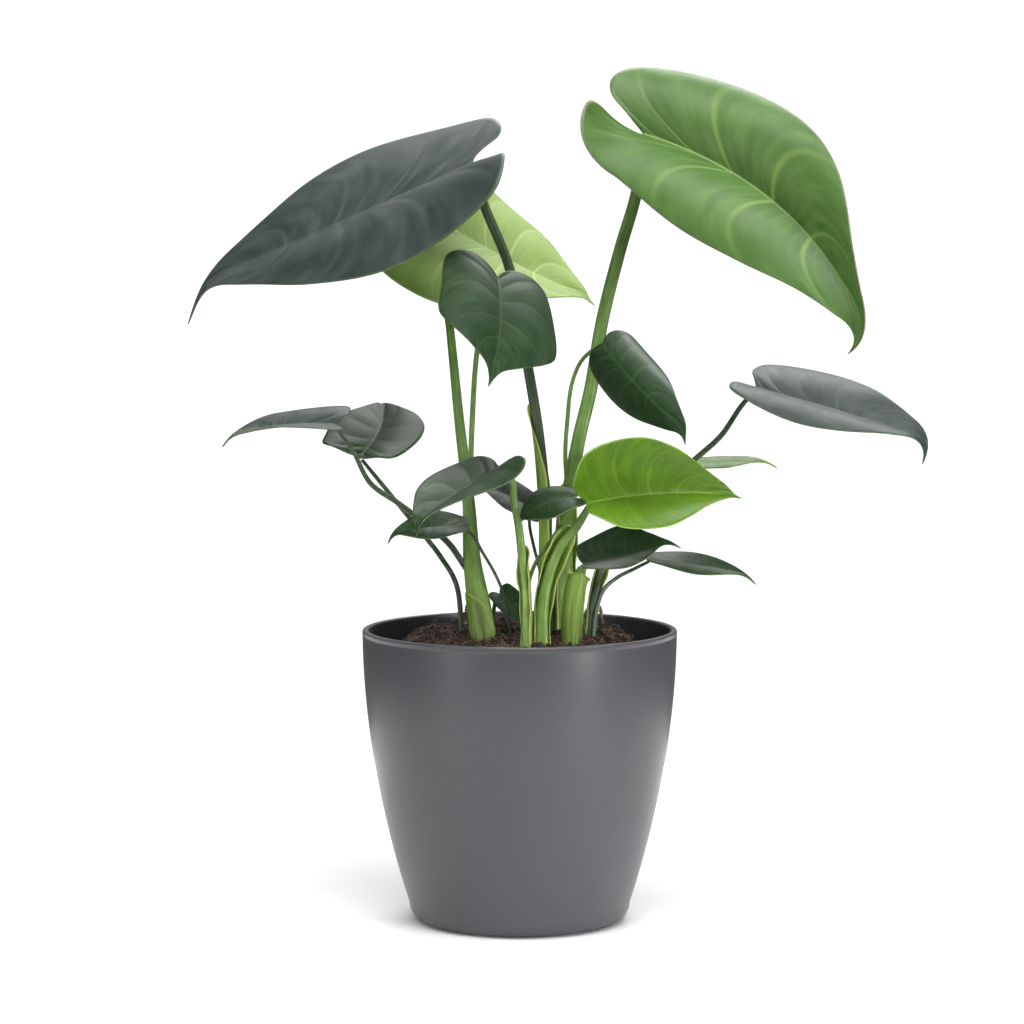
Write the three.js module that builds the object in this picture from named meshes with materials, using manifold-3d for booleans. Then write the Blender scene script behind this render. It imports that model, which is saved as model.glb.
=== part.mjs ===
// A potted foliage plant: heart-shaped leaf blades on long stalks, rooted in a ball of potting soil
// in a thin nursery pot, which stands loose in a round cover pot.
// Millimetres, +Z up. The origin is the centre of the cover pot's flat base.
import * as THREE from "three";
import { mergeVertices } from "three/addons/utils/BufferGeometryUtils.js";
import Module from "manifold-3d";

const wasm = await Module();
wasm.setup();

// ---- driving dimensions -------------------------------------------------------------------
const CLEARANCE = 0.3;          // air between neighbours that touch
const COVER_POT = {
  rimRadius: 80, height: 149,
  narrowing: 0.331,             // share of the rim radius lost at the base
  fullness: 1.913,              // higher holds the width further down the wall
  wall: 3.2, floor: 4, foot: 9, // foot is the rounding between wall and base
  lip: 1,                       // chamfer along the rim's edges
};
const NURSERY_POT = {
  baseRadius: 45, rimRadius: 60, height: 130, wall: 1.2,
  lip: 2, lipHeight: 6,         // the folded rim stands out by the lip
  holeRadius: 4, holeRing: 30, holes: 6,
};
const SOIL = { edgeRadius: 61, edgeHeight: 141, crown: 8, lump: 1.6, lean: 2.5 };
const AROUND = 48;              // sides of everything turned about the pots' axis
const BLADE_THICKNESS = 0.8;

const COLOUR = {
  anthracite: 0x5f5f63, black: 0x1d1d1e, soil: 0x3a2b22, root: 0x6f5a48,
  deepGreen: 0x3f5240, slateGreen: 0x46524f, midGreen: 0x4f7a3a,
  paleGreen: 0x9ab86a, leafGreen: 0x5a9020, stalkGreen: 0x6f8f45, darkStalk: 0x4a5a45,
};

// ---- leaf blades --------------------------------------------------------------------------
// at: where the stalk meets the blade. heading, pitch: the way the midrib sets off, in degrees
// from +X and from level. droop and hook bend it down along its length and at the drip tip,
// sway turns it left, lift raises the two lobes behind the stalk. roll raises the left half,
// and twist adds to it towards the tip. fold and curl raise and bend the left and right halves.
const LEAVES = {
  top_left: {
    colour: "slateGreen", at: [-26, 0, 384], length: 175, width: 132,
    heading: 173, pitch: -24, droop: -3, hook: 48, sway: -15, roll: -17, twist: -23,
    lobe: 0.12, belly: 0.16, drip: 0.16, notch: 0.18, fold: [17, 16], curl: [-65, -19],
  },
  top_right: {
    colour: "midGreen", at: [63, 0, 399], length: 180, width: 94,
    heading: -16, pitch: -17, droop: 43, hook: 92, sway: -45, roll: 40, twist: 40,
    lobe: 0.155, belly: 0.16, drip: 0.11, notch: 0.16, fold: [56, 40], curl: [-91, -76], lift: [-12, -58],
  },
  back_pale: {
    colour: "paleGreen", at: [-39, 68, 355], length: 90, width: 124,
    heading: -9, pitch: -32, droop: -10, hook: 20, sway: 13, roll: 34, twist: -18,
    lobe: 0.26, belly: 0.22, drip: 0.1, notch: 0.08, fold: [19, 10], curl: [-58, -28],
  },
  heart: {
    colour: "deepGreen", at: [-11, -40, 328], length: 81, width: 66,
    heading: -82, pitch: -34, droop: 13, hook: -5, sway: -24, roll: -28, twist: -16,
    lobe: 0.13, belly: 0.45, drip: 0.16, notch: 0.1, fold: [13, 13], curl: [-28, -56],
  },
  middle_right: {
    colour: "deepGreen", at: [41, -30, 295], length: 91, width: 46,
    heading: -72, pitch: -26, droop: 4, hook: 52, sway: 26, roll: 51, twist: 18,
    lobe: 0.05, belly: 0.11, drip: 0.1, notch: 0.09, fold: [-9, -9], curl: [-90, -67],
  },
  far_right: {
    colour: "slateGreen", at: [119, -10, 272], length: 100, width: 71,
    heading: -20, pitch: -14, droop: 3, hook: 90, sway: 12, roll: 9, twist: 23,
    lobe: 0.08, belly: 0.17, drip: 0.14, notch: 0.18, fold: [23, 25], curl: [-29, -50],
  },
  front_bright: {
    colour: "leafGreen", at: [34, -50, 217], length: 90, width: 68,
    heading: 41, pitch: 6, droop: 11, hook: 15, sway: -25, roll: 50, twist: 9,
    lobe: 0.12, belly: 0.19, drip: 0.1, notch: 0.11, fold: [47, 47], curl: [25, -35],
  },
  behind_bright: {
    colour: "leafGreen", at: [91, 20, 232], length: 42, width: 26,
    heading: 0, pitch: 6, droop: 12, hook: 28, sway: 5, roll: 10, twist: 2,
    lobe: 0.19, belly: 0.22, drip: 0.16, notch: 0.08, fold: [16, 16], curl: [-45, -37],
  },
  far_left: {
    colour: "slateGreen", at: [-92, -20, 254], length: 63, width: 50,
    heading: 174, pitch: 4, droop: 24, hook: 33, sway: -15, roll: -20, twist: 12,
    lobe: 0.08, belly: 0.28, drip: 0.14, notch: 0.2, fold: [21, 21], curl: [-10, -44],
  },
  left_round: {
    colour: "deepGreen", at: [-81, 0, 237], length: 67, width: 50,
    heading: 62, pitch: 23, droop: -1, hook: 33, sway: 41, roll: 11, twist: -13,
    lobe: 0.06, belly: 0.32, drip: 0.12, notch: 0.08, fold: [26, 26], curl: [-37, -34],
  },
  front_curled: {
    colour: "deepGreen", at: [-10, -55, 235], length: 69, width: 54,
    heading: 216, pitch: -24, droop: -6, hook: 67, sway: 26, roll: 10, twist: -9,
    lobe: 0.06, belly: 0.13, drip: 0.12, notch: 0.15, fold: [23, 22], curl: [-57, -11],
  },
  low_left: {
    colour: "deepGreen", at: [-27, -24, 203], length: 42, width: 30,
    heading: 183, pitch: 2, droop: 15, hook: 53, sway: 0, roll: -3, twist: -40,
    lobe: 0.05, belly: 0.25, drip: 0.17, notch: 0.06, fold: [15, 15], curl: [-34, -2],
  },
  centre_small: {
    colour: "slateGreen", at: [5, -5, 211], length: 35, width: 26,
    heading: 190, pitch: 33, droop: 17, hook: 50, sway: -5, roll: -34, twist: -6,
    lobe: 0.2, belly: 0.27, drip: 0.14, notch: 0.08, fold: [20, 20], curl: [-30, -29],
  },
  front_small: {
    colour: "deepGreen", at: [26, -55, 220], length: 29, width: 27,
    heading: 191, pitch: 0, droop: 46, hook: 42, sway: -13, roll: -28, twist: -27,
    lobe: 0.17, belly: 0.34, drip: 0.06, notch: 0.08, fold: [10, 10], curl: [4, -45],
  },
  low_right: {
    colour: "deepGreen", at: [32, -40, 186], length: 50, width: 36,
    heading: 1, pitch: 12, droop: -11, hook: 51, sway: -11, roll: 14, twist: 35,
    lobe: 0.05, belly: 0.33, drip: 0.2, notch: 0.08, fold: [20, 20], curl: [4, -21],
  },
  low_far_right: {
    colour: "deepGreen", at: [66, -20, 186], length: 55, width: 26,
    heading: -1, pitch: -5, droop: 8, hook: 34, sway: 0, roll: -4, twist: 35,
    lobe: 0.05, belly: 0.27, drip: 0.16, notch: 0.08, fold: [15, 16], curl: [2, -51],
  },
  youngest: {
    colour: "deepGreen", at: [-10, -13, 168], length: 25, width: 16,
    heading: -42, pitch: -34, droop: 12, hook: 10, sway: 0, roll: 30, twist: 0,
    lobe: 0.1, belly: 0.3, drip: 0.12, notch: 0.08, fold: [30, 30], curl: [-20, -20],
  },
};

// ---- leaf stalks --------------------------------------------------------------------------
// Each stalk's points run from its blade down to the soil, or into the sheath of the stalk named
// by joins. Each point ends with the stalk's radius there.
const STALKS = {
  top_right: {
    colour: "stalkGreen",
    points: [
      [63, 6, 397, 2.6], [59, 12, 369, 3.0], [51, 14, 341, 3.2], [42, 12, 305, 3.3],
      [36, 8, 270, 3.4], [30, 4, 245, 3.5], [24, -6, 210, 4.0], [22, -14, 175, 5.0], [22, -18, 138, 5.6],
    ],
  },
  top_left: {
    colour: "darkStalk",
    points: [
      [-25, 4, 382, 2.2], [-17, 8, 361, 2.4], [-5, 12, 331, 2.5], [4, 8, 283, 2.6],
      [10, -2, 245, 2.7], [13, -14, 206, 3.0], [13, -24, 172, 3.4], [12, -28, 138, 3.8],
    ],
  },
  back_pale: {
    colour: "stalkGreen",
    points: [
      [-38, 70, 354, 1.6], [-41, 64, 337, 2.0], [-36, 42, 300, 2.2], [-31, 22, 254, 2.6],
      [-26, 2, 214, 3.2], [-24, -12, 185, 4.5], [-20, -24, 161, 6.0], [-16, -30, 137, 6.5],
    ],
  },
  heart: {
    colour: "stalkGreen", joins: "back_pale",
    points: [
      [-11, -37, 327, 1.0], [-15, -28, 316, 1.1], [-21, -16, 293, 1.3],
      [-24, -4, 255, 1.4], [-25, 2, 230, 1.4], [-26, 4, 218, 1.4],
    ],
  },
  middle_right: {
    colour: "stalkGreen", joins: "top_right",
    points: [
      [41, -27, 294, 0.9], [35, -18, 290, 1.0], [30, -12, 284, 1.0], [26, -9, 273, 1.0],
      [24, -7, 255, 1.1], [23, -6, 238, 1.1], [24, -6, 222, 1.2],
    ],
  },
  far_right: {
    colour: "darkStalk",
    points: [
      [119, -7, 271, 1.1], [112, 0, 262, 1.3], [102, 2, 247, 1.4], [90, 2, 236, 1.5],
      [71, 0, 219, 1.6], [53, -4, 199, 1.8], [40, -12, 177, 2.0], [34, -16, 138, 2.2],
    ],
  },
  front_bright: {
    colour: "stalkGreen",
    points: [
      [34, -48, 215, 1.6], [28, -45, 205, 2.2], [20, -44, 195, 2.5], [14, -43, 180, 2.8],
      [11, -43, 163, 3.2], [11, -43, 138, 3.6],
    ],
  },
  behind_bright: {
    colour: "darkStalk",
    points: [
      [88, 22, 230, 0.8], [77, 22, 225, 0.8], [62, 20, 213, 0.9], [47, 12, 193, 1.0],
      [40, 4, 168, 1.1], [38, 0, 138, 1.2],
    ],
  },
  far_left: {
    colour: "darkStalk", joins: "back_pale",
    points: [
      [-92, -18, 252, 0.9], [-84, -16, 241, 1.1], [-75, -14, 224, 1.3], [-61, -14, 214, 1.4],
      [-48, -14, 204, 1.5], [-36, -14, 194, 1.6], [-27, -13, 181, 1.6],
    ],
  },
  left_round: {
    colour: "darkStalk",
    points: [
      [-80, 0, 235, 0.9], [-70, -2, 223, 1.1], [-57, -2, 207, 1.2], [-47, -3, 195, 1.3],
      [-40, -5, 186, 1.3], [-32, -8, 172, 1.3], [-29, -12, 138, 1.4],
    ],
  },
  front_curled: {
    colour: "stalkGreen",
    points: [
      [-10, -53, 234, 1.4], [-4, -52, 228, 1.7], [-3, -51, 218, 1.9], [-1, -50, 208, 2.0],
      [1, -50, 191, 2.1], [3, -51, 169, 2.2], [3, -53, 138, 2.4],
    ],
  },
  low_left: {
    colour: "darkStalk",
    points: [
      [-27, -24, 202, 0.8], [-23, -25, 198, 0.8], [-19, -26, 191, 0.8],
      [-12, -28, 179, 0.8], [-7, -30, 166, 0.8], [-4, -31, 138, 0.9],
    ],
  },
  centre_small: {
    colour: "darkStalk",
    points: [
      [5, -4, 210, 0.8], [5, -5, 202, 0.8], [7, -7, 192, 0.8],
      [10, -8, 180, 0.8], [12, -9, 165, 0.8], [12, -10, 138, 0.9],
    ],
  },
  front_small: {
    colour: "stalkGreen",
    points: [
      [26, -52, 218, 0.8], [22, -42, 208, 0.9], [16, -36, 198, 1.0],
      [7, -34, 184, 1.0], [3, -35, 168, 1.0], [2, -36, 138, 1.0],
    ],
  },
  low_right: {
    colour: "stalkGreen",
    points: [
      [31, -39, 184, 2.2], [29, -39, 178, 3.4], [27, -39, 167, 4.2],
      [26, -38, 155, 4.6], [25, -38, 138, 4.6],
    ],
  },
  low_far_right: {
    colour: "darkStalk",
    points: [
      [65, -18, 185, 0.8], [57, -18, 181, 0.9], [49, -19, 177, 1.0], [42, -22, 171, 1.1],
      [38, -25, 160, 1.2], [36, -27, 138, 1.4],
    ],
  },
  youngest: {
    colour: "stalkGreen",
    points: [[-12, -13, 167, 0.8], [-13, -10, 160, 1.0], [-14, -9, 150, 1.2], [-14, -9, 138, 1.3]],
  },
};

const ROOTS = {
  root_arch: [
    [33, 28, 138, 0.9], [34, 28, 153, 0.9], [38, 28, 159, 0.9], [42, 28, 155, 0.9], [44, 28, 138, 0.9],
  ],
  root_spur: [[-28, 14, 138, 1.6], [-28, 14, 153, 1.4], [-26, 14, 161, 0.8]],
};

// ---- small helpers ------------------------------------------------------------------------
const radians = THREE.MathUtils.degToRad;
const lerp = THREE.MathUtils.lerp;

/** A mesh with its own finish, added to the plant under its name. */
const plant = new THREE.Group();
function addPiece(name, geometry, colour, roughness) {
  const finish = new THREE.MeshStandardMaterial({ color: COLOUR[colour], roughness, metalness: 0 });
  const mesh = new THREE.Mesh(geometry, finish);
  mesh.name = name;
  plant.add(mesh);
  return mesh;
}

/** Merges shared corners and drops the faces that a pinched end leaves flat. */
function weld(geometry) {
  geometry.deleteAttribute("normal");
  geometry.deleteAttribute("uv");
  const merged = mergeVertices(geometry, 1e-3);
  const corner = merged.index.array;
  const kept = [];
  for (let i = 0; i < corner.length; i += 3) {
    const [a, b, c] = [corner[i], corner[i + 1], corner[i + 2]];
    if (a !== b && b !== c && c !== a) kept.push(a, b, c);
  }
  merged.setIndex(kept);
  return merged;
}

/** Moves every corner of a geometry to the place that a function gives for it. */
function reshape(geometry, place) {
  const position = geometry.attributes.position;
  const corner = new THREE.Vector3();
  for (let i = 0; i < position.count; i += 1) {
    corner.fromBufferAttribute(position, i);
    position.setXYZ(i, ...place(corner).toArray());
  }
  return weld(geometry);
}

/** A welded geometry as a solid that can be joined and cut. */
function toSolid(geometry) {
  return new wasm.Manifold(new wasm.Mesh({
    numProp: 3,
    vertProperties: new Float32Array(geometry.attributes.position.array),
    triVerts: new Uint32Array(geometry.index.array),
  }));
}

/** A solid back as a geometry. */
function toGeometry(solid) {
  const mesh = solid.getMesh();
  const geometry = new THREE.BufferGeometry();
  geometry.setAttribute("position", new THREE.BufferAttribute(mesh.vertProperties, 3));
  geometry.setIndex(new THREE.BufferAttribute(mesh.triVerts, 1));
  return geometry;
}

/** A profile of [radius, height] pairs turned about the Z axis. */
function turned(profile) {
  const points = profile.map(([radius, height]) => new THREE.Vector2(radius, height));
  return weld(new THREE.LatheGeometry(points, AROUND).rotateX(Math.PI / 2));
}

// ---- the pots -----------------------------------------------------------------------------
/** Radius of the cover pot's outer wall at a height: full near the rim, narrowing to the base. */
function coverPotRadius(height) {
  const depth = 1 - height / COVER_POT.height;
  return COVER_POT.rimRadius * (1 - COVER_POT.narrowing * depth ** COVER_POT.fullness);
}

function coverPot() {
  const { rimRadius, height, wall, floor, foot, lip } = COVER_POT;
  const outside = [];
  const inside = [[coverPotRadius(foot) - wall, foot + 2]];
  const footSteps = 4;
  const wallSteps = 8;
  const footCentre = coverPotRadius(foot) - foot;
  for (let i = 0; i <= footSteps; i += 1) {
    const turn = (i / footSteps) * Math.PI / 2;
    outside.push([footCentre + foot * Math.sin(turn), foot * (1 - Math.cos(turn))]);
  }
  for (let i = 1; i <= wallSteps; i += 1) {
    const z = lerp(foot, height - lip, i / wallSteps);
    outside.push([coverPotRadius(z), z]);
    inside.push([coverPotRadius(z) - wall, z]);
  }
  const rim = [[rimRadius - lip, height], [rimRadius - wall + lip, height]];
  const well = [footCentre - lip, floor];
  return turned([[0, 0], ...outside, ...rim, ...inside.reverse(), well, [0, floor]]);
}

function nurseryPot() {
  const { baseRadius, rimRadius, height, wall, lip, lipHeight } = NURSERY_POT;
  const { holeRadius, holeRing, holes } = NURSERY_POT;
  const base = COVER_POT.floor + CLEARANCE;
  const rim = base + height;
  let drilled = toSolid(turned([
    [0, base], [baseRadius, base], [rimRadius, rim - lipHeight],
    [rimRadius + lip, rim - lipHeight], [rimRadius + lip, rim],
    [rimRadius - wall, rim], [baseRadius - wall, base + wall], [0, base + wall],
  ]));
  const depth = 4 * wall;
  const sides = 12;
  const drill = new THREE.CylinderGeometry(holeRadius, holeRadius, depth, sides).rotateX(Math.PI / 2);
  for (let i = 0; i < holes; i += 1) {
    const turn = (i / holes) * Math.PI * 2;
    const hole = drill.clone().translate(holeRing * Math.cos(turn), holeRing * Math.sin(turn), base);
    drilled = drilled.subtract(toSolid(weld(hole)));
  }
  return toGeometry(drilled);
}

// ---- soil ---------------------------------------------------------------------------------
/** Height of the soil at a place: a low crown with lumps in it. */
function soilHeight(x, y) {
  const spread = Math.min(1, Math.hypot(x, y) / SOIL.edgeRadius);
  const lumps = Math.sin(x * 0.31 + 1) * Math.cos(y * 0.27) + 0.6 * Math.sin(x * 0.13 - y * 0.19);
  const lean = SOIL.lean * (y / SOIL.edgeRadius);
  const crown = SOIL.edgeHeight + SOIL.crown * Math.sqrt(1 - spread ** 3);
  return crown + (lean + SOIL.lump * lumps) * (1 - spread);
}

/** The root ball fills the nursery pot and stands a little proud of its rim. */
function rootBall() {
  const { baseRadius, rimRadius, height, wall } = NURSERY_POT;
  const base = COVER_POT.floor + CLEARANCE + wall + CLEARANCE;
  const rim = COVER_POT.floor + CLEARANCE + height;
  const inset = wall + 2 * CLEARANCE;
  const rings = 6;
  const profile = [[0, base], [baseRadius - inset, base], [rimRadius - inset, rim]];
  for (let i = 0; i < rings; i += 1) {
    profile.push([lerp(rimRadius - inset, 0, i / rings), rim + 4 + i * 0.1]);
  }
  profile.push([0, rim + 6]);
  return reshape(turned(profile), (p) => (p.z > rim + 1 ? p.setZ(soilHeight(p.x, p.y)) : p));
}

// ---- stalks and roots ---------------------------------------------------------------------
/** A round section carried along a curve, its radius following the points' own. */
function tapered(points, { sides = 8, swell = 0, perSpan = 2 } = {}) {
  const path = new THREE.CatmullRomCurve3(points.map(([x, y, z]) => new THREE.Vector3(x, y, z)));
  const spans = points.length - 1;
  const steps = spans * perSpan;
  const frames = path.computeFrenetFrames(steps, false);
  const section = new THREE.Shape();
  for (let i = 0; i < sides; i += 1) {
    const turn = (i / sides) * Math.PI * 2;
    const corner = [Math.cos(turn), Math.sin(turn)];
    if (i === 0) section.moveTo(...corner);
    else section.lineTo(...corner);
  }
  const rod = new THREE.ExtrudeGeometry(section, { depth: 1, steps, bevelEnabled: false });
  return reshape(rod, ({ x, y, z }) => {
    const ring = Math.round(z * steps);
    const along = (ring / steps) * spans;
    const span = Math.min(spans - 1, Math.floor(along));
    const radius = lerp(points[span][3], points[span + 1][3], along - span) + swell;
    return path.getPoint(ring / steps)
      .addScaledVector(frames.normals[ring], x * radius)
      .addScaledVector(frames.binormals[ring], y * radius);
  });
}

// ---- leaf blades --------------------------------------------------------------------------
const MIDRIB_SHARE = 0.06; // share of the half width over which the blade turns into its fold
const TAKE_OFF = 1.35; // power that crowds the ribs' take-off points towards the stalk

/** The heart-shaped half outline: along the midrib, out from it, from the notch to the tip. */
function leafOutline({ length, width, lobe, belly, drip, notch }) {
  const half = width / 2;
  const back = lobe * length;
  const shoulder = belly * length;
  const neck = length * (1 - drip);
  const flank = (share) => shoulder + share * (neck - shoulder);
  const corners = [
    [0, 0], [-0.42 * back, notch * half], [-0.9 * back, (notch + 0.18) * half], [-back, 0.52 * half],
    [-0.62 * back, 0.82 * half], [0.5 * shoulder, 0.975 * half], [flank(0.18), 0.985 * half],
    [flank(0.5), 0.76 * half], [flank(0.78), 0.42 * half], [neck, 0.15 * half],
    [(neck + length) / 2, 0.05 * half], [length, 0],
  ];
  return new THREE.CatmullRomCurve3(corners.map(([x, y]) => new THREE.Vector3(x, y, 0)));
}

/** Unit vectors along the midrib, to the leaf's left and out of its upper face. */
function midribFrame(leaf, distance, side) {
  const along = distance / leaf.length;
  const tipStart = 1 - 1.6 * leaf.drip;
  const hooked = THREE.MathUtils.smoothstep(along, tipStart, 1);
  const lifted = leaf.lift ? leaf.lift[side] * THREE.MathUtils.clamp(-along / leaf.lobe, 0, 1) : 0;
  const pitch = radians(leaf.pitch - leaf.droop * Math.max(along, -0.5) - leaf.hook * hooked + lifted);
  const heading = radians(leaf.heading + leaf.sway * along);
  const roll = radians(leaf.roll + leaf.twist * THREE.MathUtils.clamp(along, -0.5, 1));
  const forward = new THREE.Vector3(
    Math.cos(pitch) * Math.cos(heading), Math.cos(pitch) * Math.sin(heading), Math.sin(pitch));
  const left = new THREE.Vector3(-Math.sin(heading), Math.cos(heading), 0);
  const up = new THREE.Vector3().crossVectors(forward, left);
  left.applyAxisAngle(forward, roll);
  up.applyAxisAngle(forward, roll);
  return { forward, left, up };
}

/** Point on the midrib's curve, found by stepping along it from the stalk. side is 0 left, 1 right. */
function midribPoint(leaf, distance, side) {
  const steps = 24;
  const stride = distance / steps;
  const point = new THREE.Vector3(...leaf.at);
  for (let i = 0; i < steps; i += 1) {
    point.addScaledVector(midribFrame(leaf, (i + 0.5) * stride, side).forward, stride);
  }
  return point;
}

/** A slab from 0 to 1 along x, its lower face cut along the same diagonals as its upper one. */
function thinSlab(rows, columns) {
  const slab = new THREE.BoxGeometry(1, 2, 1, rows, 2 * columns, 1).translate(0.5, 0, 0);
  const index = slab.index.array;
  const { start, count } = slab.groups.at(-1);
  for (let i = start; i < start + count; i += 6) {
    const [a, b, d, , c] = index.slice(i, i + 6);
    index.set([a, b, c, a, c, d], i);
  }
  return slab;
}

/** Closed blade: a flat slab's grid, carried onto the folded, curled surface of the leaf. */
function leafBlade(leaf, rows, columns) {
  const outline = leafOutline(leaf);
  const half = leaf.width / 2;
  return reshape(thinSlab(rows, columns), ({ x, y, z }) => {
    const side = y < 0 ? 1 : 0;
    const sign = y < 0 ? -1 : 1;
    const out = Math.abs(y);
    const edge = outline.getPoint(THREE.MathUtils.clamp(x, 0, 1));
    const takeOff = leaf.length * Math.max(x, 0) ** TAKE_OFF;
    const distance = lerp(takeOff, edge.x, out);
    const frame = midribFrame(leaf, distance, side);
    const fold = radians(leaf.fold[side]);
    const curl = radians(leaf.curl[side]);
    const spread = (edge.y * out) / half;
    const angle = fold + curl * spread;
    const lateral = half * (Math.sin(angle) - Math.sin(fold)) / curl;
    const raised = half * (Math.cos(fold) - Math.cos(angle)) / curl;
    const lean = angle * Math.min(1, spread / MIDRIB_SHARE);
    const thickness = z * BLADE_THICKNESS;
    return midribPoint(leaf, distance, side)
      .addScaledVector(frame.left, sign * (lateral - Math.sin(lean) * thickness))
      .addScaledVector(frame.up, raised + Math.cos(lean) * thickness);
  });
}

// ---- assembly -----------------------------------------------------------------------------
addPiece("cover_pot", coverPot(), "anthracite", 0.55);
addPiece("nursery_pot", nurseryPot(), "black", 0.6);

const stalkSolids = {};
for (const [name, { points, colour, joins }] of Object.entries(STALKS)) {
  let solid = toSolid(tapered(points));
  if (joins) solid = solid.subtract(toSolid(tapered(STALKS[joins].points, { swell: CLEARANCE })));
  stalkSolids[name] = solid;
  addPiece(`stalk_${name}`, toGeometry(solid), colour, 0.5);
}

let soil = toSolid(rootBall());
for (const { points } of Object.values(STALKS)) {
  soil = soil.subtract(toSolid(tapered(points, { swell: CLEARANCE })));
}
for (const [name, points] of Object.entries(ROOTS)) {
  addPiece(name, tapered(points, { sides: 6 }), "root", 0.9);
  soil = soil.subtract(toSolid(tapered(points, { sides: 6, swell: CLEARANCE })));
}
addPiece("root_ball", toGeometry(soil), "soil", 0.95);

for (const [name, leaf] of Object.entries(LEAVES)) {
  const large = leaf.width > 90;
  addPiece(`leaf_${name}`, leafBlade(leaf, large ? 32 : 16, large ? 4 : 3), leaf.colour, 0.45);
}

export default plant;
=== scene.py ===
"""A young heart-leaved foliage plant in a satin anthracite cover pot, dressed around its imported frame."""
import math

import bmesh
import bpy
import numpy as np
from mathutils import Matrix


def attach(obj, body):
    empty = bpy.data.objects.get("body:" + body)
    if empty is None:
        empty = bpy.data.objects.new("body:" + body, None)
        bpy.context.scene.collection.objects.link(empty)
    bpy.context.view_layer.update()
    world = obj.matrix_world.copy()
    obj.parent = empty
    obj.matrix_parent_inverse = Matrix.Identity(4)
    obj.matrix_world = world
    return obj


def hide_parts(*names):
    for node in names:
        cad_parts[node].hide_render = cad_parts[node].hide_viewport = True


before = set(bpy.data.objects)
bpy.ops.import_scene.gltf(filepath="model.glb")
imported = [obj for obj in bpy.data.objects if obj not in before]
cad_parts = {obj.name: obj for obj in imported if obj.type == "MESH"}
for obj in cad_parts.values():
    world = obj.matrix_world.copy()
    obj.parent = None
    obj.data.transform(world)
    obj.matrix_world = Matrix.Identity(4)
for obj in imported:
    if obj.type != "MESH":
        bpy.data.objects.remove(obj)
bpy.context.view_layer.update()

# ---- studio ----
# A small sheet of white paper under a large overhead light, with a softbox on either side and
# one behind, as a product is shot. Two narrow strips draw the bands of light down the pot. The
# walls stay dim at the sides, so that the satin pot darkens towards its edges.

MM = 0.001
LENS_MM, SENSOR_MM = 110.4, 36
EYE, EYE_DOWN = (-0.0039, -1.5887, 0.3385), 4.68
FLOOR_RADIUS, GLOW_FROM, GLOW_TO = 0.5, 0.2, 0.48
# for each light: azimuth, height, distance, width, tall, watts, height aimed at, degrees of spread
LIGHTS = {
    "softbox_left": (-50, 0.9, 1.7, 0.6, 1.0, 4.5, 0.22, 180),
    "softbox_right": (50, 0.9, 1.7, 0.6, 1.0, 4.5, 0.22, 180),
    "strip_left": (-46, 0.2, 1.2, 0.12, 0.5, 0.13, 0.06, 24),
    "strip_right": (47, 0.2, 1.2, 0.12, 0.5, 0.34, 0.06, 24),
    "softbox_behind": (168, 1.7, 1.5, 1.4, 0.9, 22, 0.22, 180),
    "softbox_above": (10, 2.1, 0.7, 1.3, 1.3, 40, 0.22, 180),
}


def linear(colour):
    """A hex sRGB colour as linear red, green, blue and alpha: each channel through the sRGB curve."""
    channels = [int(colour[i:i + 2], 16) / 255 for i in (1, 3, 5)]
    return [c / 12.92 if c <= 0.04045 else ((c + 0.055) / 1.055) ** 2.4 for c in channels] + [1.0]


def wire(tree, made, inputs):
    """Links or fills a node's inputs. A node given stands for its first output in use, and a hex string
    for its linear colour."""
    for key, value in dict(inputs).items():
        if isinstance(value, bpy.types.Node):
            value = next(output for output in value.outputs if output.enabled)
        if isinstance(value, str):
            value = linear(value)
        if isinstance(value, bpy.types.NodeSocket):
            tree.links.new(value, made.inputs[key])
        else:
            made.inputs[key].default_value = value


def node(tree, kind, inputs=(), **settings):
    """Adds one shader node of a kind, sets its properties, then links or fills its inputs."""
    made = tree.nodes.new("ShaderNode" + kind)
    for key, value in settings.items():
        setattr(made, key, value)
    wire(tree, made, inputs)
    return made


def material(name):
    """A new material, its tree, the principled shader it starts with, and the object's coordinates."""
    made = bpy.data.materials.new(name)
    made.use_nodes = True
    tree = made.node_tree
    return made, tree, tree.nodes["Principled BSDF"], node(tree, "TexCoord").outputs["Object"]


def studio():
    """Dim side walls and a bright ceiling light the plant, and the eye itself sees plain white."""
    scene = bpy.context.scene
    scene.view_settings.view_transform = "Standard"
    world = bpy.data.worlds.new("studio_walls")
    scene.world = world
    world.use_nodes = True
    tree = world.node_tree
    tree.nodes.clear()
    direction = node(tree, "TexCoord").outputs["Generated"]
    apart = node(tree, "SeparateXYZ", {0: direction}).outputs
    sideways = node(tree, "Math", {0: apart["X"]}, operation="ABSOLUTE")
    walls = node(tree, "MapRange", {
        "Value": sideways, "From Min": 0.3, "From Max": 0.9, "To Min": 0.3, "To Max": 0.12})
    lifted = node(tree, "MapRange", {"Value": apart["Z"], "From Max": 0.85, "To Min": 0.55, "To Max": 2.6})
    level = node(tree, "Math", {0: walls, 1: lifted}, operation="MULTIPLY")
    seen = node(tree, "LightPath").outputs["Is Camera Ray"]
    strength = node(tree, "Mix", {"Factor": seen, "A": level, "B": 1.2})
    sky = node(tree, "Background", {"Color": "#fbfdff", "Strength": strength})
    node(tree, "OutputWorld", {"Surface": sky})


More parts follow.
